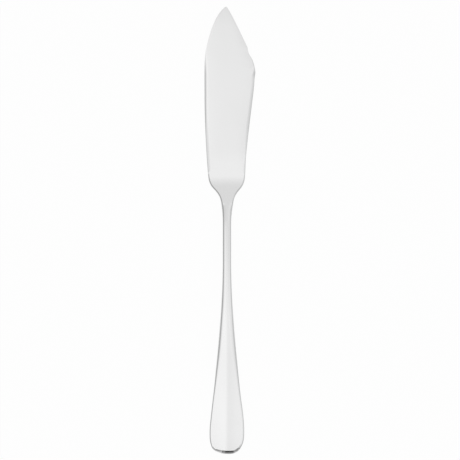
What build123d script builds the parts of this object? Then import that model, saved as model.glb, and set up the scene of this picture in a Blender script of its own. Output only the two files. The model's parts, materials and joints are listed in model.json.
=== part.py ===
from build123d import *
import math
import os

# Fish knife: a flat blade hard-soldered to an arched, ridged handle with a rounded end.
# Millimetres. Y runs along the knife with the tip at +Y, X to the right, Z up.
# The origin is on the flat underside of the blade, halfway along it, on the handle's axis.

# Lengths along the knife
overall_length = 205.0
blade_length = 82.0          # tip to the throat, where the blade turns into the neck
joint_from_throat = 19.0     # throat to the seam between blade and handle
neck_length = 35.0           # throat to the place where the handle starts to widen
butt_to_widest = 10.0        # end of the handle to its widest place

# Blade outline from above: drop is measured from the tip, reach from the handle's axis
tip_offset = -0.3            # the tip lies a little left of the handle's axis
tip_radius = 1.0
tip_turn = 40.0              # how far the round tip turns to the left, in degrees
clip_angle = 26.0            # straight clip right of the tip, in degrees from the axis
clip_drop = 18.7
notch_drop = 20.8
notch_reach = 9.8
hump_rise_drop = 23.4
hump_rise_reach = 11.15
hump_drop = 29.7
hump_reach = 13.0
heel_drop = 35.6
heel_reach = 12.35
taper_drop = 67.5
taper_reach = 8.95
brow_drop = 8.7
brow_reach = 6.45
belly_drop = 18.0
belly_reach = 9.25
bulge_drop = 40.0
bulge_reach = 10.35
waist_drop = 60.0
waist_reach = 9.75

# Shoulders and throat from above, measured from the throat
shoulder_rise = 3.4
shoulder_width = 16.75
shoulder_lean = 6.0          # inward lean of the blade's edges there, in degrees
turn_drop = 0.9
turn_width = 13.5
throat_drop = 4.7
throat_width = 7.75
flare_drop = 9.6
flare_width = 5.35

# Neck and handle from above: shares are of the stretch over which the handle widens
neck_width = 3.85
swell_share = 0.346
swell_width = 6.1
slope_share = 0.577
slope_width = 9.25
flank_share = 0.808
flank_width = 13.3
handle_width = 16.0
corner_rise = 2.7
corner_width = 12.9

# Heights from the side
tip_thickness = 1.0
blade_thickness = 1.5
root_thickness = 1.45
neck_thickness = 3.6
arch_thickness = 3.4
handle_thickness = 3.1
butt_thickness = 3.0
neck_lift = 1.1              # underside of the neck above the table, at the seam
neck_slope = 5.0             # slope of the neck there, in degrees
arch_lift = 3.6              # underside of the handle above the table, at the top of its arch
arch_from_throat = 57.0
rest_from_butt = 14.0        # end of the handle to the place where it rests on the table
butt_lift = 0.3
butt_slope = 3.0             # slope of the handle's end, in degrees

# Ridge along the handle
ridge_height = 0.7
ridge_spread = 4.0           # how far the ridge reaches to each side
ridge_softness = 0.6         # half width of its rounded top
ridge_fade = 50.0            # length over which it rises out of the neck

# Rims
top_rim = 0.6
under_rim = 0.3
rim_wall = 0.1               # least upright wall between the two rims

# Joint between blade and handle
spigot_diameter = 2.0
spigot_length = 12.0
solder_gap = 0.05
socket_end_gap = 0.5

# Upper skin: rows of points along the knife, columns across it
skin_rows = 60
skin_columns = 24
spare = 4.0                  # how far the cutting blocks reach past the knife

tip_y = blade_length / 2
throat_y = -blade_length / 2
root_y = throat_y + shoulder_rise
joint_y = throat_y - joint_from_throat
widen_y = throat_y - neck_length
butt_y = tip_y - overall_length
widest_y = butt_y + butt_to_widest
arch_y = throat_y - arch_from_throat
rest_y = butt_y + rest_from_butt


def from_tip(reach, drop):
    """A point of the blade's outline."""
    return (reach, tip_y - drop)


def heading(degrees):
    """Direction towards the handle's end, seen from the side, that climbs by an angle."""
    return (-math.cos(math.radians(degrees)), math.sin(math.radians(degrees)))


def flare(side):
    """One side of the throat, from the shoulder down to the seam."""
    lean = math.tan(math.radians(shoulder_lean))
    return Spline(
        (side * shoulder_width / 2, root_y),
        (side * turn_width / 2, throat_y - turn_drop),
        (side * throat_width / 2, throat_y - throat_drop),
        (side * flare_width / 2, throat_y - flare_drop),
        (side * neck_width / 2, joint_y),
        tangents=[(-lean * side, -1), (0, -1)],
    )


def handle_side(side):
    """One side of the neck and handle, from the seam round to the middle of the end."""
    widening = widen_y - widest_y
    neck = Line((side * neck_width / 2, joint_y), (side * neck_width / 2, widen_y))
    swell = Spline(
        neck @ 1,
        (side * swell_width / 2, widen_y - swell_share * widening),
        (side * slope_width / 2, widen_y - slope_share * widening),
        (side * flank_width / 2, widen_y - flank_share * widening),
        (side * handle_width / 2, widest_y),
        tangents=[(0, -1), (0, -1)],
    )
    end = Spline(
        swell @ 1,
        (side * corner_width / 2, butt_y + corner_rise),
        (0, butt_y),
        tangents=[(0, -1), (-side, 0)],
    )
    return [neck, swell, end]


def blade_edges():
    """Both edges of the blade, from the left seam round the tip to the right seam."""
    left_throat, right_throat = flare(-1), flare(1)
    round_tip = CenterArc(
        (tip_offset, tip_y - tip_radius), tip_radius, clip_angle, 90 + tip_turn - clip_angle
    )
    belly = Spline(
        round_tip @ 1,
        from_tip(-brow_reach, brow_drop),
        from_tip(-belly_reach, belly_drop),
        from_tip(-bulge_reach, bulge_drop),
        tangents=[round_tip % 1, (0, -1)],
    )
    hip = Spline(
        belly @ 1,
        from_tip(-waist_reach, waist_drop),
        left_throat @ 0,
        tangents=[(0, -1), left_throat % 0],
    )
    along = (round_tip % 0) * -1
    clip_length = ((round_tip @ 0).Y - tip_y + clip_drop) / -along.Y
    clip = Line(round_tip @ 0, (round_tip @ 0) + along * clip_length)
    taper = Line(from_tip(heel_reach, heel_drop), from_tip(taper_reach, taper_drop))
    hump = Spline(
        clip @ 1,
        from_tip(notch_reach, notch_drop),
        from_tip(hump_rise_reach, hump_rise_drop),
        from_tip(hump_reach, hump_drop),
        taper @ 0,
        tangents=[along, taper % 0],
    )
    shoulder = Spline(taper @ 1, right_throat @ 0, tangents=[taper % 1, right_throat % 0])
    return [left_throat, hip, belly, round_tip, clip, hump, taper, shoulder, right_throat]


def outline():
    """The whole knife from above."""
    return make_face(blade_edges() + handle_side(1) + handle_side(-1))


def underside():
    """Lower face from the side: flat under the blade, arched neck and handle."""
    flat = Line((tip_y + spare, 0), (root_y, 0))
    arch = Spline(
        (root_y, 0),
        (joint_y, neck_lift),
        (arch_y, arch_lift),
        (rest_y, 0),
        (butt_y, butt_lift),
        tangents=[heading(0), heading(neck_slope), heading(0), heading(0), heading(butt_slope)],
    )
    return flat, arch


def ridge_line():
    """Highest line of the upper face from the side."""
    return Spline(
        (tip_y, tip_thickness),
        (0, blade_thickness),
        (root_y, root_thickness),
        (joint_y, neck_lift + neck_thickness),
        (arch_y, arch_lift + arch_thickness),
        (rest_y, handle_thickness),
        (butt_y, butt_lift + butt_thickness),
        tangents=[
            (-tip_y, 2 * (blade_thickness - tip_thickness)),
            heading(0),
            heading(0),
            heading(neck_slope),
            heading(0),
            heading(0),
            heading(butt_slope),
        ],
    )


def ridge_drop(x, y):
    """How far the upper face lies below the ridge line."""
    grown = min(max((widen_y - y) / ridge_fade, 0), 1)
    height = ridge_height * grown * grown * (3 - 2 * grown)
    away = math.hypot(x, ridge_softness) - ridge_softness
    return height * (1 - math.exp(-away / ridge_spread))


def upper_skin():
    """Upper face of the knife as one smooth sheet, wider than the outline."""
    line = ridge_line()
    reach = max(bulge_reach, hump_reach, handle_width / 2) + spare
    stations = [line @ (i / skin_rows) for i in range(skin_rows + 1)]
    start, end = line % 0, line % 1
    stations.insert(0, stations[0] - start * spare)
    stations.append(stations[-1] + end * spare)
    spread = [2 * j / skin_columns - 1 for j in range(skin_columns + 1)]
    columns = [reach * s * abs(s) for s in spread]
    rows = [[(x, p.X, p.Y - ridge_drop(x, p.X)) for x in columns] for p in stations]
    return Face.make_surface_from_array_of_points(rows)


def form():
    """Blade and handle in one, with sharp rims."""
    top = arch_lift + arch_thickness + butt_lift + spare
    half_width = max(bulge_reach, hump_reach, handle_width / 2) + spare
    plan = extrude(outline(), top)
    below_skin = extrude(upper_skin(), 2 * top, dir=(0, 0, -1))
    flat, arch = underside()
    lead_out = Line(arch @ 1, arch @ 1 + (arch % 1) * spare)
    back = Polyline(lead_out @ 1, ((lead_out @ 1).X, top), (tip_y + spare, top), flat @ 0)
    side = make_face([flat, arch, lead_out, back])
    above_table = extrude(Plane.YZ.offset(-half_width) * side, 2 * half_width)
    return plan & above_table & below_skin


def rim_edges(solid, up):
    """Edges round the faces that look up (1) or down (-1), without those straight across."""
    normals = [(f, f.normal_at()) for f in solid.faces()]
    faces = [f for f, n in normals if n.Z * up > math.hypot(n.X, n.Y)]
    return ShapeList(faces).edges().filter_by(Axis.X, reverse=True)


def knife():
    """Blade and handle in one, with rounded rims."""
    solid = form()
    top_round = min(top_rim, tip_thickness - under_rim - rim_wall, tip_radius - rim_wall)
    solid = fillet(rim_edges(solid, 1), top_round)
    return fillet(rim_edges(solid, -1), under_rim)


def seam():
    """Plane of the seam, square to the neck, facing the handle."""
    centre = (0, joint_y, neck_lift + neck_thickness / 2)
    along = heading(neck_slope)
    return Plane(centre, x_dir=(1, 0, 0), z_dir=(0, along[0], along[1]))


def pin(diameter, length):
    """A round pin that stands on the seam and runs into the handle's neck."""
    return seam() * Cylinder(diameter / 2, length, align=(Align.CENTER, Align.CENTER, Align.MIN))


def blade(whole):
    """Flat blade and first part of the neck, with the spigot."""
    return split(whole, seam(), keep=Keep.BOTTOM) + pin(spigot_diameter, spigot_length)


def handle(whole):
    """Neck and handle, with the socket for the spigot."""
    socket = pin(spigot_diameter + 2 * solder_gap, spigot_length + socket_end_gap)
    return split(whole, seam(), keep=Keep.TOP) - socket


os.makedirs("parts", exist_ok=True)
whole_knife = knife()
export_step(blade(whole_knife), "parts/blade.step")
export_step(handle(whole_knife), "parts/handle.step")
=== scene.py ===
import json
import math

import bpy
from bpy.props import FloatProperty, FloatVectorProperty, IntProperty, PointerProperty
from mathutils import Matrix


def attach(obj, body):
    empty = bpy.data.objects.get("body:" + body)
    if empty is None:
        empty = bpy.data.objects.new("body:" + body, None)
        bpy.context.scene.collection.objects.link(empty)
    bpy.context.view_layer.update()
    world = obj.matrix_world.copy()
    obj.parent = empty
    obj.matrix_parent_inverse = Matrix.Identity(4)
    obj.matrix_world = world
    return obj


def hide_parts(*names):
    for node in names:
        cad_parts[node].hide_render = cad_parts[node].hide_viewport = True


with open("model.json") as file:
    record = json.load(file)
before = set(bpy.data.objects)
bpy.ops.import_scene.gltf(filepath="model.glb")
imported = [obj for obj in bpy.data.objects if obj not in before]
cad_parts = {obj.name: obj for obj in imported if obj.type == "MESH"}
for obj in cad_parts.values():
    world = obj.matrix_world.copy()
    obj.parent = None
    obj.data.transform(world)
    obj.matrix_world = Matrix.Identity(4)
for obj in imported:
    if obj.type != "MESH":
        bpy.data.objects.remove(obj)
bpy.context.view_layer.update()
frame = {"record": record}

bl_info = {
    "name": "Fish Knife",
    "version": (1, 0, 0),
    "blender": (4, 5, 0),
    "location": "View3D > Sidebar > Fish Knife",
    "description": "Builds a polished table fish knife and the white table that it lies on",
    "category": "Add Mesh",
}

MM = 0.001
STEEL = next(m for m in frame["record"]["materials"] if m["slot"] == "polished_steel")

# Edges from above in millimetres: x, y and heading in degrees, tip at +y.
# Each starts at the middle of the blade's tip or of the handle's end and stops at the seam.
TIP_LEFT = [
    (-0.50, 41.00, 180.0),
    (-0.94, 40.77, 220.0),
    (-3.74, 37.65, 235.6),
    (-7.27, 30.05, 251.1),
    (-9.47, 21.95, 258.5),
    (-10.24, 13.60, 268.7),
    (-10.27, 1.00, 270.0),
    (-9.79, -18.32, 272.9),
    (-8.48, -37.60, 276.0),
]
TIP_RIGHT = [
    (-0.50, 41.00, 0.0),
    (0.26, 40.40, -56.0),
    (1.92, 37.60, -61.5),
    (9.45, 22.30, -64.0),
    (9.64, 21.45, -83.6),
    (9.74, 20.57, -82.3),
    (10.33, 18.92, -59.8),
    (10.80, 18.17, -57.4),
    (11.97, 15.81, -69.7),
    (12.86, 12.40, -80.7),
    (13.02, 10.65, -91.8),
    (12.80, 8.90, -98.7),
    (12.52, 5.40, -95.5),
    (12.13, 1.50, -97.0),
    (8.86, -26.50, -95.6),
    (8.50, -32.10, -92.0),
    (8.22, -37.60, -96.0),
]
THROAT_LEFT = [
    (-7.41, -40.86, 298.0),
    (-5.17, -43.55, 310.3),
    (-3.30, -46.46, 291.0),
    (-2.54, -49.79, 277.6),
    (-2.14, -53.17, 275.0),
    (-1.96, -56.58, 271.5),
    (-1.925, -60.00, 270.0),
]
THROAT_RIGHT = [
    (7.26, -40.86, -118.0),
    (5.28, -43.56, -130.3),
    (3.54, -46.46, -110.5),
    (2.79, -49.79, -98.2),
    (2.28, -53.17, -97.0),
    (1.98, -56.58, -92.4),
    (1.925, -60.00, -90.0),
]
END_RIGHT = [
    (0.00, -164.07, -2.0),
    (2.30, -164.02, 5.5),
    (3.60, -163.65, 24.0),
    (5.20, -162.67, 38.5),
    (6.25, -161.31, 60.0),
    (7.38, -158.95, 73.0),
    (7.94, -154.00, 90.0),
    (7.47, -146.19, 96.0),
]
END_LEFT = [
    (0.00, -164.07, 178.0),
    (-2.40, -163.78, 164.0),
    (-5.30, -162.68, 153.0),
    (-6.68, -161.48, 122.0),
    (-7.70, -158.66, 101.0),
    (-7.97, -154.00, 90.0),
    (-7.32, -146.19, 84.0),
]
# Right side of the rest of the handle; the left side mirrors it.
HANDLE_SIDE = [
    (6.44, -138.42, 97.3),
    (4.81, -122.86, 95.7),
    (3.38, -107.27, 94.6),
    (2.34, -91.65, 92.8),
    (1.925, -76.00, 90.0),
    (1.925, -60.00, 90.0),
]
# Steps of the curve between two stations, and the least number that a handle is divided by.
CURVE_STEPS = 40
LEAST_BEND = 0.5

# Heights from the side in millimetres: y, z and the slope towards the tip.
UPPER_LINE = [
    (-164.0, 3.30, -0.052),
    (-150.0, 3.10, 0.0),
    (-98.0, 6.78, 0.0),
    (-88.0, 6.66, -0.020),
    (-79.0, 6.37, -0.046),
    (-70.0, 5.825, -0.075),
    (-60.0, 4.95, -0.100),
    (-50.0, 3.40, -0.210),
    (-41.5, 1.78, -0.155),
    (-36.8, 1.45, 0.015),
    (-31.0, 1.55, 0.020),
    (-24.0, 1.58, -0.008),
    (0.0, 1.45, -0.004),
    (32.0, 1.29, -0.006),
    (36.0, 1.22, -0.030),
    (41.0, 1.00, -0.060),
]
UNDER_LINE = [
    (-164.0, 0.30, -0.052),
    (-150.0, 0.0, 0.0),
    (-98.0, 3.60, 0.0),
    (-60.0, 1.10, -0.087),
    (-37.6, 0.0, 0.0),
    (41.0, 0.0, 0.0),
]
# Height of the middle of the seam.
SEAM_MIDDLE = 2.9

# Stretch over which the handle's ridge grows, and how far it lies from the knife's axis.
RIDGE_GROWTH = (-76.0, -104.0)
RIDGE_OFFSET = -0.2
# Stretch over which the blade's crown rises out of the neck, the half width of the blade
# below which the crown gets lower, and how sharply it falls towards the edges.
CROWN_RISE = (-35.0, -22.0)
CROWN_REACH = 8.0
CROWN_POWER = 4.0

# A stretch of four places goes from none to full, and from full back to none.
# Rims of the neck, which are broader, up to a share of its half width.
NECK_STRETCH = (-44.0, -52.0, -112.0, -140.0)
NECK_SHARE = 0.85
# Height of the upper rim's rounding as a share of its width.
RIM_FLATNESS = 0.55
# Stretch over which the rim gets thinner towards the tip, and by which share.
TIP_STRETCH = (8.0, 22.0)
TIP_THINNING = 0.95

# Bevel along the shoulders: stretch, width, slope, the share of its width at which it has
# that slope, and the share by which the rim is thinner there.
SHOULDER_STRETCH = (-34.0, -40.0, -44.0, -51.0)
SHOULDER_BEVEL = 0.42
SHOULDER_ANGLE = math.radians(28.0)
SHOULDER_SHARE = 0.3
SHOULDER_THINNING = 0.55
# Bevels along the blade's left and right edge: stretch, width, slope in degrees at the inside
# and at the outside, and the share of the width at which each has its full slope.
EDGE_BEVELS = (
    (
        ((32.0, 9.0, -8.0, -20.0), 1.5, 5.0, 28.5, 1.0),
        ((-8.0, -20.0, -33.5, -37.0), 1.1, 17.0, 22.0, 1.0),
    ),
    (((15.0, 9.0, -14.0, -34.0), 1.2, 23.0, 31.0, 0.3),),
)
# Share by which the rim is thinner there, and share of the bevel's width at which it is.
EDGE_THINNING = 0.6
THIN_SHARE = 0.3
# How squarely an edge faces the handle's end where the end's bevel starts and where it is full,
# the same for its wide middle, and its width right and left of that as a share.
END_FACING = (0.2, 0.7)
END_MIDDLE = (0.85, 1.0)
END_SHARES = (0.80, 0.48)
# Width of the bevel where there is none, so that no face has an area of zero.
LEAST_BEVEL = 0.03

# Columns of faces round one half of the section, from the top middle to the under middle.
COLUMNS = {"face": 14, "bevel": 6, "rim": 8, "wall": 2, "under_rim": 4, "under_face": 4}
# How much closer the rows lie towards the tip and the handle's end.
GATHER = 1.25
# Points closer than this, in metres, become one.
WELD = 3e-7

# Sizes that the loft takes: those of both pieces, of the blade and of the handle.
SHARED_SIZES = ("rim", "neck_rim", "under_rim", "ridge_spread", "ridge_softness")
BLADE_SIZES = ("crown",)
HANDLE_SIZES = ("ridge_height", "end_bevel", "end_angle", "end_turn", "end_rim")

# Noise in the polish: scale along each axis, turn in degrees, detail and roughness.
POLISH_LINES = ((5200, 90, 900), 0.0, 3.0, 0.6)
HAIRS_ONE, HAIRS_ONE_RANGE = ((6500, 60, 300), 17.0, 1.0, 0.5), (0.70, 0.76)
HAIRS_TWO, HAIRS_TWO_RANGE = ((6000, 75, 300), -38.0, 1.0, 0.5), (0.71, 0.77)
SMUDGES, SMUDGE_RANGE = ((55, 38, 40), 20.0, 3.0, 0.55), (0.42, 0.72)
CLOUDS = ((14, 11, 12), 0.0, 2.0, 0.5)
NOISE_MIDDLE = 0.5
# How much they darken the steel, roughen it and raise it.
SMUDGE_SHADE, CLOUD_SHADE, HAIR_SHADE = 0.012, 0.02, 0.01
LINE_ROUGHNESS, SMUDGE_ROUGHNESS, HAIR_ROUGHNESS = 0.04, 0.05, 0.06
BUMP_STRENGTH, BUMP_DEPTH, HAIR_DEPTH = 0.06, 0.02, 0.6

# Table: reach in metres, gap below the knife in millimetres, roughness, and its share of plain
# white where the camera sees it and where metal mirrors it. The rest takes light and shadow.
TABLE_REACH = 3.0
TABLE_GAP = 0.1
TABLE_ROUGHNESS = 0.5
SEEN_WHITE, MIRRORED_WHITE = 0.96, 0.35

# Light tent, by the direction that the light comes from: x to the right, y to the tip, z up.
# Light from above: dimmer towards the tip, and brighter on the left than on the right, which
# holds high up and turns round towards the tip.
TIP_DIMMING, TIP_DIMMED = 0.21, (-0.12, 0.36)
SIDE_TILT, SIDE_REACH, SIDE_HEIGHTS = 0.26, 0.28, (0.6, 0.92)
TILT_TURN, TILT_TURNED = 1.6, (0.14, 0.3)
# Level near the table: all round, and what the right, the back and the back right add.
LOW_LEVEL, LOW_RIGHT, LOW_BACK, LOW_CORNER = 0.475, 0.085, 0.05, -0.5
# Dark strip behind the handle's end, a little to the right.
STRIP_DEPTH, STRIP_SPREAD, STRIP_SHIFT = 0.98, (0.93, 0.99), 0.025
# Glow just above the table, which reaches higher at the back.
GLOW_LEVEL, GLOW_HEIGHT, GLOW_BACK, GLOW_POWER = 0.45, 0.08, 0.17, 4.0
# Height where the low light ends and where the full light starts, and what the directions add.
LOW_TOP, LOW_TOP_LEFT, LOW_TOP_BACK, LOW_TOP_CORNER = 0.2, 0.12, 0.2, 0.35
FULL_FROM, FULL_RIGHT, FULL_TIP, FULL_CORNER = 0.93, -0.08, -0.22, 1.2
# Least level part of a direction, so that nothing is divided by zero straight above.
LEAST_FLAT = 0.001

# Camera straight above, in millimetres: the place that it looks at, and its sensor.
CAMERA_AIM = (1.4, -61.45, 1.5)
SENSOR_WIDTH = 36.0

WHITE = (1.0, 1.0, 1.0, 1.0)


class KnifeSizes(bpy.types.PropertyGroup):
    """Sizes of the rims, the ridge and the mesh."""

    rim: FloatProperty(
        name="Rim",
        description="Width of the upper rim's rounding",
        default=1.1 * MM,
        unit="LENGTH",
        precision=5,
    )
    neck_rim: FloatProperty(
        name="Neck rim",
        description="Width of that rounding at the neck",
        default=2.1 * MM,
        unit="LENGTH",
        precision=5,
    )
    under_rim: FloatProperty(
        name="Under rim",
        description="Radius of the lower rim",
        default=0.3 * MM,
        unit="LENGTH",
        precision=5,
    )
    ridge_height: FloatProperty(
        name="Ridge height",
        description="Height of the handle's ridge",
        default=0.7 * MM,
        unit="LENGTH",
        precision=5,
    )
    ridge_spread: FloatProperty(
        name="Ridge spread",
        description="Reach of the ridge to each side",
        default=4.0 * MM,
        unit="LENGTH",
        precision=5,
    )
    ridge_softness: FloatProperty(
        name="Ridge softness",
        description="Half width of its rounded top",
        default=0.8 * MM,
        unit="LENGTH",
        precision=5,
    )
    crown: FloatProperty(
        name="Crown",
        description="Fall of the blade's upper face to its edges",
        default=0.14 * MM,
        unit="LENGTH",
        precision=5,
    )
    end_bevel: FloatProperty(
        name="End bevel",
        description="Width of the bevel at the handle's end",
        default=1.45 * MM,
        unit="LENGTH",
        precision=5,
    )
    end_rim: FloatProperty(
        name="End rim",
        description="Width of the rounding below that bevel",
        default=0.5 * MM,
        unit="LENGTH",
        precision=5,
    )
    end_angle: FloatProperty(
        name="End angle",
        description="Slope of that bevel where it starts",
        default=math.radians(33.0),
        subtype="ANGLE",
    )
    end_turn: FloatProperty(
        name="End turn",
        description="How much steeper it gets",
        default=math.radians(8.5),
        subtype="ANGLE",
    )
    blade_rows: IntProperty(
        name="Blade rows", description="Rows of faces along the blade", default=460
    )
    handle_rows: IntProperty(
        name="Handle rows", description="Rows of faces along the handle", default=360
    )


class KnifeFinish(bpy.types.PropertyGroup):
    """Colour and polish of the steel."""

    steel: FloatVectorProperty(
        name="Steel",
        description="Colour of the steel",
        default=STEEL["base_color"],
        subtype="COLOR",
        min=0,
        max=1,
    )
    roughness: FloatProperty(
        name="Roughness",
        description="Roughness of the clean polish",
        default=0.09,
        subtype="FACTOR",
        min=0,
        max=1,
    )


class StageLook(bpy.types.PropertyGroup):
    """Table, light and camera."""

    floor: FloatVectorProperty(
        name="Floor",
        description="Colour of the table",
        default=(0.95, 0.95, 0.95),
        subtype="COLOR",
        min=0,
        max=1,
    )
    light: FloatProperty(
        name="Light", description="Strength of the light from above", default=1.055
    )
    lens: FloatProperty(
        name="Lens", description="Focal length in millimetres", default=200.0, unit="CAMERA"
    )
    view_width: FloatProperty(
        name="View width",
        description="Width of the picture at the knife",
        default=210.9 * MM,
        unit="LENGTH",
        precision=5,
    )


class Value:
    """One output in a node tree. Sums on values add Math nodes."""

    def __init__(self, tree, socket):
        self.tree, self.socket = tree, socket

    @staticmethod
    def node(tree, kind, settings=None, sockets=None):
        """Adds a node: its settings first, then the values or links of its sockets."""
        made = tree.nodes.new(kind)
        for name, value in (settings or {}).items():
            setattr(made, name, value)
        for key, value in (sockets or {}).items():
            if isinstance(value, Value):
                tree.links.new(value.socket, made.inputs[key])
            else:
                made.inputs[key].default_value = value
        return {s.name: Value(tree, s) for s in reversed(made.outputs) if s.enabled}

    def ordered(self, operation, *terms):
        """A Math node on these terms, in this order."""
        settings, sockets = {"operation": operation}, dict(enumerate(terms))
        return Value.node(self.tree, "ShaderNodeMath", settings, sockets)["Value"]

    def maths(self, operation, *others):
        """A Math node on this value and the others."""
        return self.ordered(operation, self, *others)

    def ramp(self, low, high, smooth=False):
        """0 at low, 1 at high, held beyond them."""
        settings = {"interpolation_type": "SMOOTHSTEP" if smooth else "LINEAR", "clamp": True}
        sockets = {"Value": self, "From Min": low, "From Max": high}
        return Value.node(self.tree, "ShaderNodeMapRange", settings, sockets)["Result"]

    def split(self):
        """The x, y and z of a vector."""
        parts = Value.node(self.tree, "ShaderNodeSeparateXYZ", sockets={"Vector": self})
        return parts["X"], parts["Y"], parts["Z"]

    def blend(self, other, share):
        """This value at share 0, the other one at share 1."""
        return self + (other - self) * share

    def __add__(self, other):
        return self.maths("ADD", other)

    def __radd__(self, other):
        return self.ordered("ADD", other, self)

    def __sub__(self, other):
        return self.maths("SUBTRACT", other)

    def __rsub__(self, other):
        return self.ordered("SUBTRACT", other, self)

    def __mul__(self, other):
        return self.maths("MULTIPLY", other)

    def __rmul__(self, other):
        return self.ordered("MULTIPLY", other, self)

    def __truediv__(self, other):
        return self.maths("DIVIDE", other)

    def __rtruediv__(self, other):
        return self.ordered("DIVIDE", other, self)

    def __pow__(self, other):
        return self.maths("POWER", other)

    def __neg__(self):
        return self.maths("MULTIPLY", -1.0)

    def __abs__(self):
        return self.maths("ABSOLUTE")


def height(y, line):
    """Height of a line of stations at y: each stretch adds its cubic rise."""
    total = line[0][1] * MM
    for (y0, z0, slope0), (y1, z1, slope1) in zip(line, line[1:]):
        length, rise = y1 - y0, z1 - z0
        first = length * slope0
        second = 3 * rise - length * (2 * slope0 + slope1)
        third = length * (slope0 + slope1) - 2 * rise
        t = y.ramp(y0 * MM, y1 * MM)
        total = total + t * (first * MM + t * (second * MM + t * (third * MM)))
    return total


def past(y, start, full):
    """0 before a stretch of the knife, 1 past it."""
    return y.ramp(start * MM, full * MM, True)


def along(y, start, full, until, end):
    """1 on a stretch of the knife, fading to 0 at both of its ends."""
    return past(y, start, full) * (1 - past(y, until, end))


def input_name(size):
    """Name of the loft's input for a size."""
    return size.replace("_", " ").title()


def loft_tree():
    """Geometry nodes that stretch a closed section between the two edges of a piece."""
    tree = bpy.data.node_groups.new("edge_loft", "GeometryNodeTree")
    sizes = [input_name(size) for size in SHARED_SIZES + BLADE_SIZES + HANDLE_SIZES]
    inputs = [("Edges", "Geometry"), ("Rows", "Int"), ("Gather", "Float")]
    inputs += [(size, "Float") for size in sizes] + [("Steel", "Material")]
    for name, kind in inputs:
        tree.interface.new_socket(name, in_out="INPUT", socket_type="NodeSocket" + kind)
    tree.interface.new_socket("Piece", in_out="OUTPUT", socket_type="NodeSocketGeometry")

    def node(kind, settings=None, sockets=None):
        return Value.node(tree, kind, settings, sockets)

    given = node("NodeGroupInput")
    half = sum(COLUMNS.values())
    around = 2 * half + 1
    rows = given["Rows"]
    sockets = {"Vertices X": rows + 2, "Vertices Y": around}
    grid = node("GeometryNodeMeshGrid", sockets=sockets)["Mesh"]
    index = node("GeometryNodeInputIndex")["Index"]

    def cell(number):
        """Row of a point, its column and its steps from the top middle."""
        row = ((number + 0.5) / around).maths("FLOOR")
        column = number - row * around
        return row, column, abs(column - half)

    row, column, step = cell(index)
    share = (row / rows).maths("MINIMUM", 1.0) ** given["Gather"]
    cap = row.maths("GREATER_THAN", rows + 0.5)
    second = column.maths("GREATER_THAN", half)

    first, zone = 0, {}
    for name, count in COLUMNS.items():
        zone[name] = step.ramp(first, first + count)
        first += count

    def rim_at(x, y, shoulder, ground):
        """Width of the upper rim's rounding: slight at the tip, broad at the neck."""
        plain = given["Rim"] * (1 - SHOULDER_THINNING * shoulder) * (1 - EDGE_THINNING * ground)
        plain = plain * (1 - TIP_THINNING * past(y, *TIP_STRETCH))
        broad = given["Neck Rim"].maths("MINIMUM", NECK_SHARE * abs(x))
        return plain.blend(broad, along(y, *NECK_STRETCH))

    def edge(number, turn):
        """One edge: its point, inward direction, rim and bevel, and where the upper face starts."""
        settings = {"mode": "FACTOR", "use_all_curves": False}
        sockets = {"Curves": given["Edges"], "Factor": share, "Curve Index": number}
        sample = node("GeometryNodeSampleCurve", settings, sockets)
        x, y, _ = sample["Position"].split()
        tangent_x, tangent_y, _ = sample["Tangent"].split()
        inward_x, inward_y = tangent_y * -turn, tangent_x * turn

        # Bevels at the handle's end, along the shoulders and along the blade's edges.
        square = abs(inward_y)
        facing = square.ramp(*END_FACING, True)
        aside = END_SHARES[number]
        wide = aside + (1 - aside) * square.ramp(*END_MIDDLE, True)
        shoulder = along(y, *SHOULDER_STRETCH)
        bevel = given["End Bevel"] * facing * wide
        bevel = bevel + SHOULDER_BEVEL * MM * shoulder + LEAST_BEVEL * MM
        ground = inside = outside = 0.0
        for stretch, width, flat, sharp, full in EDGE_BEVELS[number]:
            part = along(y, *stretch)
            bevel = bevel + width * MM * part
            ground = part + ground
            sloped = part.ramp(0.0, full)
            inside = sloped * math.radians(flat) + inside
            outside = sloped * math.radians(sharp) + outside
        shoulder_angle = SHOULDER_ANGLE * shoulder.ramp(0.0, SHOULDER_SHARE)
        end_angle = given["End Angle"]
        inside = inside.maths("MAXIMUM", shoulder_angle) + end_angle * facing
        outside = outside.maths("MAXIMUM", shoulder_angle)
        outside = outside + (end_angle + given["End Turn"]) * facing
        slope, steep = inside.maths("TANGENT"), outside.maths("TANGENT")

        rim = rim_at(x, y, shoulder, ground.ramp(0.0, THIN_SHARE))
        rim = rim.blend(given["End Rim"], facing * given["End Bevel"].ramp(0.0, WELD))
        lean = (steep / RIM_FLATNESS).maths("ARCTANGENT")
        inset = bevel + rim * (1 - lean.maths("SINE"))
        return {
            "x": x,
            "y": y,
            "inward_x": inward_x,
            "inward_y": inward_y,
            "rim": rim,
            "bevel": bevel,
            "slope": slope,
            "steep": steep,
            "lean": lean,
            "top_x": x + inward_x * inset,
            "top_y": y + inward_y * inset,
        }

    one, two = edge(0, 1.0), edge(1, -1.0)
    at = {name: one[name].blend(two[name], second) for name in one}
    middle_x, middle_y = (one[name].blend(two[name], 0.5) for name in ("top_x", "top_y"))

    # Upper rim and bevel, and the lower rim.
    lean = at["lean"].blend(math.pi / 2, zone["rim"])
    under_lean = zone["under_rim"] * (math.pi / 2)
    under = given["Under Rim"]
    inset = at["bevel"] * (1 - zone["bevel"]) + at["rim"] * (1 - lean.maths("SINE"))
    inset = inset + under * (1 - under_lean.maths("COSINE"))
    mean_slope = at["slope"] + (at["steep"] - at["slope"]) * 0.5 * zone["bevel"]
    drop = at["bevel"] * zone["bevel"] * mean_slope
    rim_drop = at["lean"].maths("COSINE") - lean.maths("COSINE")
    drop = drop + at["rim"] * RIM_FLATNESS * rim_drop

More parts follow.
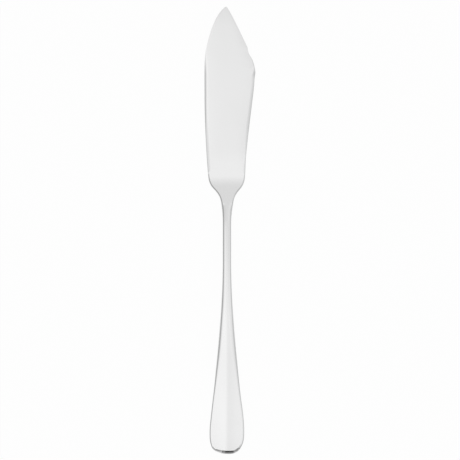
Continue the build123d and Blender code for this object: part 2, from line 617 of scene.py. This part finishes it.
    # Upper face: the upper line less the fall from the handle's ridge and the blade's crown.
    top_x = middle_x.blend(at["top_x"], zone["face"])
    top_y = middle_y.blend(at["top_y"], zone["face"])
    soft = given["Ridge Softness"]
    aside = top_x - RIDGE_OFFSET * MM
    away = ((aside * aside + soft * soft).maths("SQRT") - soft) / given["Ridge Spread"]
    fall = given["Ridge Height"] * past(top_y, *RIDGE_GROWTH) * (1 - (-away).maths("EXPONENT"))
    reach = abs(at["top_x"] - middle_x)
    crown = given["Crown"] * zone["face"] ** CROWN_POWER * reach.ramp(0.0, CROWN_REACH * MM)
    crown = crown * past(top_y, *CROWN_RISE)
    upper = height(top_y, UPPER_LINE) - fall - crown - drop

    to_middle = 1 - zone["face"] + zone["under_face"]
    plan_x = (at["x"] + at["inward_x"] * inset).blend(middle_x, to_middle)
    plan_y = (at["y"] + at["inward_y"] * inset).blend(middle_y, to_middle)
    lower = height(plan_y, UNDER_LINE) + under * (1 - under_lean.maths("SINE"))
    plan_z = upper.blend(lower, zone["wall"])

    # The last row closes the piece at the seam.
    sockets = {
        "X": plan_x.blend(middle_x, cap),
        "Y": plan_y.blend(middle_y, cap),
        "Z": plan_z + (SEAM_MIDDLE * MM - plan_z) * cap,
    }
    place = node("ShaderNodeCombineXYZ", sockets=sockets)["Vector"]

    def shaped(kind, shape, settings=None, **sockets):
        """The shape after one more node."""
        sockets = {name.replace("_", " "): value for name, value in sockets.items()}
        return node(kind, settings, {"Geometry": shape, **sockets})["Geometry"]

    shape = shaped("GeometryNodeSetPosition", grid, Position=place)
    shape = shaped("GeometryNodeSetShadeSmooth", shape, Shade_Smooth=True)

    # Crisp edges: round the seam and along the inner side of the bevels.
    ends = node("GeometryNodeInputMeshEdgeVertices")
    row_a, _, step_a = cell(ends["Vertex Index 1"])
    row_b, _, step_b = cell(ends["Vertex Index 2"])
    closing = row_a.maths("MINIMUM", row_b).maths("GREATER_THAN", rows - 0.5)
    off_crease = (step_a - COLUMNS["face"]) ** 2.0 + (step_b - COLUMNS["face"]) ** 2.0
    crisp = closing + off_crease.maths("LESS_THAN", 0.5)
    on_edges = {"domain": "EDGE"}
    shape = shaped(
        "GeometryNodeSetShadeSmooth", shape, on_edges, Selection=crisp, Shade_Smooth=False
    )
    shape = shaped("GeometryNodeMergeByDistance", shape, Distance=WELD)
    shape = shaped("GeometryNodeRealizeInstances", shape)
    shape = shaped("GeometryNodeSetMaterial", shape, Material=given["Steel"])
    node("NodeGroupOutput", sockets={"Piece": shape})
    return tree


def mirrored(stations):
    """The same edge on the other side of the knife's axis."""
    return [(-x, y, 180.0 - heading) for x, y, heading in stations]


def bezier_handle(station, other, side):
    """Handle of a station towards its neighbour, before it (-1) or after it (1).

    It is a third of the chord long, and longer where the edge turns, as on a round arc.
    """
    x, y, heading = station
    bend = math.cos(math.radians(other[2] - heading) / 4) ** 2
    reach = side * math.hypot(other[0] - x, other[1] - y) / 3 / max(bend, LEAST_BEND)
    heading = math.radians(heading)
    return ((x + reach * math.cos(heading)) * MM, (y + reach * math.sin(heading)) * MM, 0)


def edge_curve(name, edges):
    """A curve object with one smooth spline for each edge."""
    data = bpy.data.curves.new(name, "CURVE")
    data.dimensions = "3D"
    data.resolution_u = CURVE_STEPS
    for stations in edges:
        spline = data.splines.new("BEZIER")
        spline.bezier_points.add(len(stations) - 1)
        before, after = [stations[0]] + stations[:-1], stations[1:] + [stations[-1]]
        for point, station, last, following in zip(spline.bezier_points, stations, before, after):
            point.handle_left_type = point.handle_right_type = "FREE"
            point.co = (station[0] * MM, station[1] * MM, 0)
            point.handle_left = bezier_handle(station, last, -1)
            point.handle_right = bezier_handle(station, following, 1)
    curve = bpy.data.objects.new(name, data)
    bpy.context.scene.collection.objects.link(curve)
    return curve


def loft_inputs(scene, rows, own_sizes):
    """Inputs of the loft for one piece; the sizes of the other piece are 0."""
    inputs = {input_name(size): 0.0 for size in BLADE_SIZES + HANDLE_SIZES}
    for size in SHARED_SIZES + own_sizes:
        inputs[input_name(size)] = getattr(scene.knife_sizes, size)
    return {**inputs, "Rows": rows, "Gather": GATHER, "Steel": polished_steel(scene.knife_finish)}


def make_piece(name, node, edges, inputs):
    """Lofts one piece between its edges and leaves a plain mesh in place of its CAD node."""
    curve = edge_curve(name + "_edges", edges)
    tree = bpy.data.node_groups.get("edge_loft") or loft_tree()
    modifier = curve.modifiers.new("loft", "NODES")
    modifier.node_group = tree
    for item in tree.interface.items_tree:
        if item.in_out == "INPUT" and item.name in inputs:
            modifier[item.identifier] = inputs[item.name]
    depsgraph = bpy.context.evaluated_depsgraph_get()
    evaluated = curve.evaluated_get(depsgraph)
    mesh = bpy.data.meshes.new_from_object(evaluated, depsgraph=depsgraph)
    if not mesh.polygons:
        raise RuntimeError("the loft of " + name + " is empty")
    curve.modifiers.clear()
    data = curve.data
    bpy.data.objects.remove(curve)
    bpy.data.curves.remove(data)
    mesh.name = name
    piece = bpy.data.objects.new(name, mesh)
    bpy.context.scene.collection.objects.link(piece)
    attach(piece, "root")
    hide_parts(node)
    return piece


def polished_steel(finish):
    """Polished steel with fine lengthwise polishing lines, hairline scratches and faint smudges."""
    old = bpy.data.materials.get("polished_steel_finish")
    if old:
        return old
    material = bpy.data.materials.new("polished_steel_finish")
    material.use_nodes = True
    tree = material.node_tree
    tree.nodes.clear()

    def node(kind, settings=None, sockets=None):
        return Value.node(tree, kind, settings, sockets)

    place = node("ShaderNodeTexCoord")["Object"]

    def grain(scale, turn, detail, rough):
        """Noise on the piece's own coordinates, turned and then scaled along each axis."""
        sockets = {"Vector": place, "Rotation": (0, 0, math.radians(turn))}
        turned = node("ShaderNodeMapping", {"vector_type": "TEXTURE"}, sockets)["Vector"]
        scaled = node("ShaderNodeMapping", sockets={"Vector": turned, "Scale": scale})["Vector"]
        sockets = {"Vector": scaled, "Scale": 1.0, "Detail": detail, "Roughness": rough}
        return node("ShaderNodeTexNoise", sockets=sockets)["Fac"]

    lines = grain(*POLISH_LINES)
    hairs = grain(*HAIRS_ONE).ramp(*HAIRS_ONE_RANGE) + grain(*HAIRS_TWO).ramp(*HAIRS_TWO_RANGE)
    smudge = grain(*SMUDGES).ramp(*SMUDGE_RANGE, True)
    cloud = grain(*CLOUDS) - NOISE_MIDDLE

    shade = 1.0 - SMUDGE_SHADE * smudge - CLOUD_SHADE * cloud - HAIR_SHADE * hairs
    red, green, blue = (shade * part for part in finish.steel)
    sockets = {"Red": red, "Green": green, "Blue": blue}
    colour = node("ShaderNodeCombineColor", sockets=sockets)["Color"]
    roughness = finish.roughness + LINE_ROUGHNESS * (lines - NOISE_MIDDLE)
    roughness = roughness + SMUDGE_ROUGHNESS * smudge + HAIR_ROUGHNESS * hairs
    raised = lines + HAIR_DEPTH * hairs
    sockets = {"Strength": BUMP_STRENGTH, "Distance": BUMP_DEPTH * MM, "Height": raised}
    normal = node("ShaderNodeBump", sockets=sockets)["Normal"]
    sockets = {"Base Color": colour, "Roughness": roughness, "Normal": normal, "Metallic": 1.0}
    shader = node("ShaderNodeBsdfPrincipled", sockets=sockets)["BSDF"]
    node("ShaderNodeOutputMaterial", sockets={"Surface": shader})
    return material


def table_white(look):
    """White table that keeps a faint shadow."""
    material = bpy.data.materials.new("table_white")
    material.use_nodes = True
    tree = material.node_tree
    tree.nodes.clear()

    def node(kind, sockets=None):
        return Value.node(tree, kind, sockets=sockets)

    sockets = {"Color": (*look.floor, 1.0), "Roughness": TABLE_ROUGHNESS}
    matt = node("ShaderNodeBsdfDiffuse", sockets)["BSDF"]
    glow = node("ShaderNodeEmission", {"Color": WHITE, "Strength": 1.0})["Emission"]
    rays = node("ShaderNodeLightPath")
    off_metal = rays["Is Glossy Ray"].maths("MAXIMUM", rays["Is Transmission Ray"])
    plain = rays["Is Camera Ray"] * SEEN_WHITE + off_metal * MIRRORED_WHITE
    mixed = node("ShaderNodeMixShader", {0: plain, 1: matt, 2: glow})["Shader"]
    node("ShaderNodeOutputMaterial", {"Surface": mixed})
    return material


def light_tent(look):
    """White light from above that fades towards the table, unevenly round the knife."""
    world = bpy.data.worlds.new("light_tent")
    world.use_nodes = True
    tree = world.node_tree
    tree.nodes.clear()
    x, y, z = Value.node(tree, "ShaderNodeTexCoord")["Generated"].split()

    across = x.maths("MAXIMUM", -SIDE_REACH).maths("MINIMUM", SIDE_REACH)
    across = across * z.ramp(*SIDE_HEIGHTS, True) * (1 - TILT_TURN * y.ramp(*TILT_TURNED, True))
    overhead = look.light - TIP_DIMMING * y.ramp(*TIP_DIMMED, True) - SIDE_TILT * across

    flat = (x * x + y * y).maths("SQRT").maths("MAXIMUM", LEAST_FLAT)
    aside, ahead = x / flat, y / flat
    right, left, back = (part.maths("MAXIMUM", 0.0) for part in (aside, -aside, -ahead))
    corner = right * back

    low = LOW_LEVEL + LOW_RIGHT * aside + LOW_BACK * back + LOW_CORNER * corner
    low = low * (1 - STRIP_DEPTH * (back + STRIP_SHIFT * aside).ramp(*STRIP_SPREAD))
    glow_height = GLOW_HEIGHT + GLOW_BACK * back ** GLOW_POWER
    low = low + GLOW_LEVEL * (1 - z.ramp(0.0, glow_height))

    low_top = LOW_TOP + LOW_TOP_LEFT * left + LOW_TOP_BACK * back + LOW_TOP_CORNER * left * back
    full_from = FULL_FROM + FULL_RIGHT * aside + FULL_TIP * ahead + FULL_CORNER * corner
    dark = 1 - z.ramp(low_top, full_from.maths("MINIMUM", 1.0), True)
    level = overhead * (1 - dark * (1 - low))

    # The camera itself sees plain white.
    seen = Value.node(tree, "ShaderNodeLightPath")["Is Camera Ray"]
    sockets = {"Color": WHITE, "Strength": level + (1 - level) * seen}
    glow = Value.node(tree, "ShaderNodeBackground", sockets=sockets)["Background"]
    Value.node(tree, "ShaderNodeOutputWorld", sockets={"Surface": glow})
    return world


class KNIFE_OT_blade(bpy.types.Operator):
    """Make the blade with its half of the neck"""

    bl_idname = "fish_knife.blade"
    bl_label = "Make Blade"

    def execute(self, context):
        rows = context.scene.knife_sizes.blade_rows
        edges = [TIP_LEFT + THROAT_LEFT, TIP_RIGHT + THROAT_RIGHT]
        make_piece("knife_blade", "blade", edges, loft_inputs(context.scene, rows, BLADE_SIZES))
        return {"FINISHED"}


class KNIFE_OT_handle(bpy.types.Operator):
    """Make the handle with its half of the neck"""

    bl_idname = "fish_knife.handle"
    bl_label = "Make Handle"

    def execute(self, context):
        rows = context.scene.knife_sizes.handle_rows
        edges = [END_RIGHT + HANDLE_SIDE, END_LEFT + mirrored(HANDLE_SIDE)]
        make_piece("knife_handle", "handle", edges, loft_inputs(context.scene, rows, HANDLE_SIZES))
        return {"FINISHED"}


class KNIFE_OT_stage(bpy.types.Operator):
    """Set the white table, the light tent and the camera straight above"""

    bl_idname = "fish_knife.stage"
    bl_label = "Set Stage"

    def execute(self, context):
        look = context.scene.stage_look
        mesh = bpy.data.meshes.new("table")
        signs = ((-1, -1), (1, -1), (1, 1), (-1, 1))
        corners = [(x * TABLE_REACH, y * TABLE_REACH, -TABLE_GAP * MM) for x, y in signs]
        mesh.from_pydata(corners, [], [(0, 1, 2, 3)])
        mesh.materials.append(table_white(look))
        table = bpy.data.objects.new("table", mesh)
        context.scene.collection.objects.link(table)
        context.scene.world = light_tent(look)
        data = bpy.data.cameras.new("camera_above")
        data.lens, data.sensor_width = look.lens, SENSOR_WIDTH
        camera = bpy.data.objects.new("camera_above", data)
        context.scene.collection.objects.link(camera)
        distance = look.view_width * data.lens / data.sensor_width
        x, y, z = (part * MM for part in CAMERA_AIM)
        camera.location = (x, y, z + distance)
        context.scene.camera = camera
        context.scene.view_settings.view_transform = "Standard"
        return {"FINISHED"}


class KNIFE_PT_panel(bpy.types.Panel):
    """Buttons and sizes of the fish knife"""

    bl_idname = "KNIFE_PT_panel"
    bl_label = "Fish Knife"
    bl_space_type = "VIEW_3D"
    bl_region_type = "UI"
    bl_category = "Fish Knife"

    def draw(self, context):
        scene = context.scene
        for group in (scene.knife_sizes, scene.knife_finish, scene.stage_look):
            box = self.layout.box()
            for name in group.__annotations__:
                box.prop(group, name)
        for operator in OPERATORS:
            self.layout.operator(operator.bl_idname)


OPERATORS = (KNIFE_OT_blade, KNIFE_OT_handle, KNIFE_OT_stage)
CLASSES = (KnifeSizes, KnifeFinish, StageLook, *OPERATORS, KNIFE_PT_panel)


def register():
    for cls in CLASSES:
        bpy.utils.register_class(cls)
    bpy.types.Scene.knife_sizes = PointerProperty(type=KnifeSizes)
    bpy.types.Scene.knife_finish = PointerProperty(type=KnifeFinish)
    bpy.types.Scene.stage_look = PointerProperty(type=StageLook)


def unregister():
    del bpy.types.Scene.stage_look
    del bpy.types.Scene.knife_finish
    del bpy.types.Scene.knife_sizes
    for cls in reversed(CLASSES):
        bpy.utils.unregister_class(cls)


def main():
    register()
    bpy.ops.fish_knife.blade()
    bpy.ops.fish_knife.handle()
    bpy.ops.fish_knife.stage()


if __name__ == "__main__":
    main()
